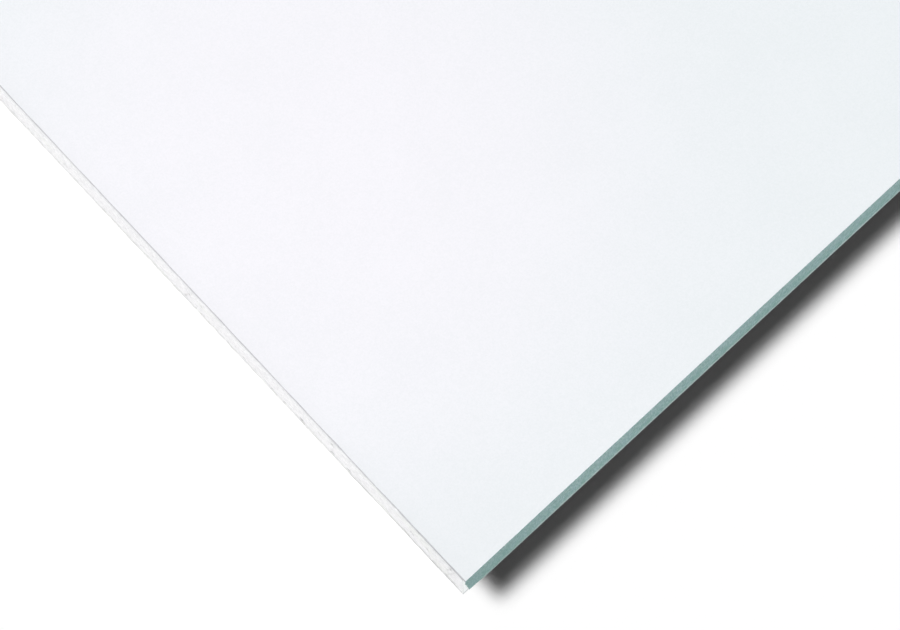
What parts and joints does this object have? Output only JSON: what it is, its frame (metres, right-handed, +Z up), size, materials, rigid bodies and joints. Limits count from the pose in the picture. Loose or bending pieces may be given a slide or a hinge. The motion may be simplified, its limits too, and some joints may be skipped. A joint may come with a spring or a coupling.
{
  "type": "ceiling tile",
  "caption": "Square white-faced gypsum board tile that lies in a suspended ceiling grid, with paper-wrapped long edges and cut edges between them.",
  "frame": {"origin": "middle of the underside, the back paper's lower face, as the tile lies white face up", "axes": "+Z up through the white face; +X and -X through the paper-wrapped edges; +Y and -Y through the cut edges"},
  "size_m": [0.595, 0.595, 0.0126],
  "materials": {
    "gypsum": "cut, chalky and finely pitted",
    "green_paper": "matt grey-green liner paper",
    "grey_paper": "matt grey recycled liner paper",
    "white_film": "satin white with a very fine grain"
  },
  "bodies": {
    "root": {"gypsum_core": "gypsum", "face_paper": "green_paper", "back_paper": "grey_paper", "face_film": "white_film"}
  },
  "joints": []
}
